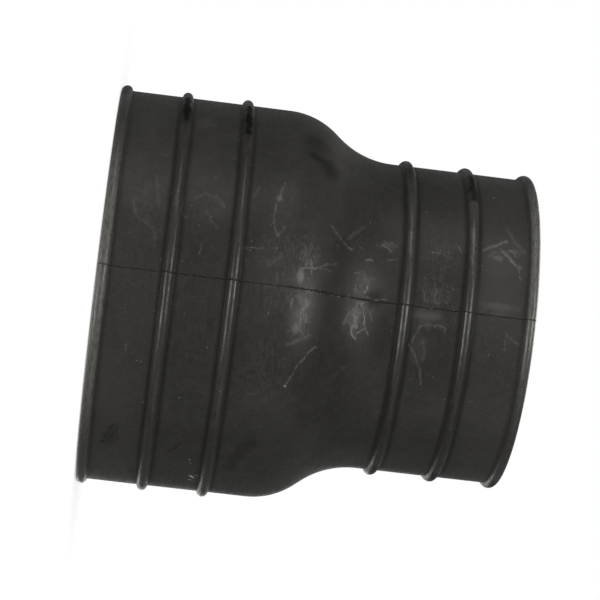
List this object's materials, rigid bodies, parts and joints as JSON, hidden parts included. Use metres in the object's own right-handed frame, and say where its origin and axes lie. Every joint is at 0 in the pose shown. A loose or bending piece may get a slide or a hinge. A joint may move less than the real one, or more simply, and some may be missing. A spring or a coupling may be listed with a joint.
{
  "type": "exhaust bellows",
  "caption": "Moulded rubber sleeve that joins a large pipe to a smaller one on the same axis, with clamp ribs on both cuffs.",
  "frame": {"origin": "centre of the large end's face", "axes": "+Z along the sleeve's axis, from the large end towards the small end; the two moulding lines lie at -Y and +Y"},
  "size_m": [0.1128, 0.1132, 0.1177],
  "materials": {
    "black_rubber": "dull, slightly scuffed moulded rubber"
  },
  "bodies": {
    "root": {"bellows_sleeve": "black_rubber"}
  },
  "joints": []
}
